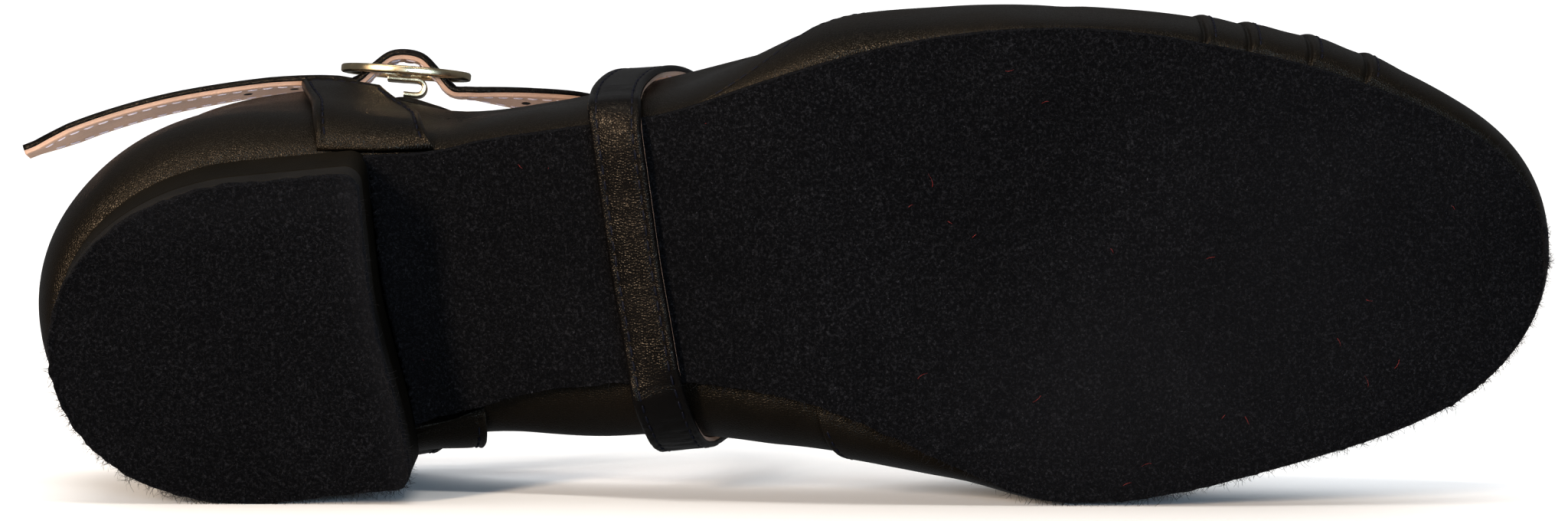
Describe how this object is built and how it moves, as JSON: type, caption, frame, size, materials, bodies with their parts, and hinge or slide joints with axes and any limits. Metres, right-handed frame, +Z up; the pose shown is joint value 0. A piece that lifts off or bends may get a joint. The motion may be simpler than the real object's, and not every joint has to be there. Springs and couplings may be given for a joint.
{
  "type": "ballroom dance shoe",
  "caption": "Right ballroom dance shoe with a closed toe, low block heel, suede sole and a crossed instep strap, lying on its medial side.",
  "frame": {"origin": "centre of the bounding box's underside, on the floor that the shoe lies on", "axes": "+X from heel to toe, the sole looks along -Y, +Z up, towards the shoe's lateral side"},
  "size_m": [0.2638, 0.093, 0.084],
  "materials": {
    "upper_leather": "smooth black nappa with a fine grain",
    "heel_cover": "smooth black covering",
    "heel_lift": "smooth black",
    "sole_suede": "napped black suede",
    "lining": "matt nude lining",
    "buckle_metal": "polished light gold"
  },
  "bodies": {
    "root": {"upper": "upper_leather", "lateral_sling_panel": "upper_leather", "medial_sling_panel": "upper_leather", "wrap_strap": "upper_leather", "tab_strap": "upper_leather", "heel_block": "heel_cover", "heel_lift": "heel_lift", "heel_pad": "sole_suede", "outsole": "sole_suede", "insole": "lining", "buckle_frame": "buckle_metal", "buckle_hook": "buckle_metal"}
  },
  "joints": []
}
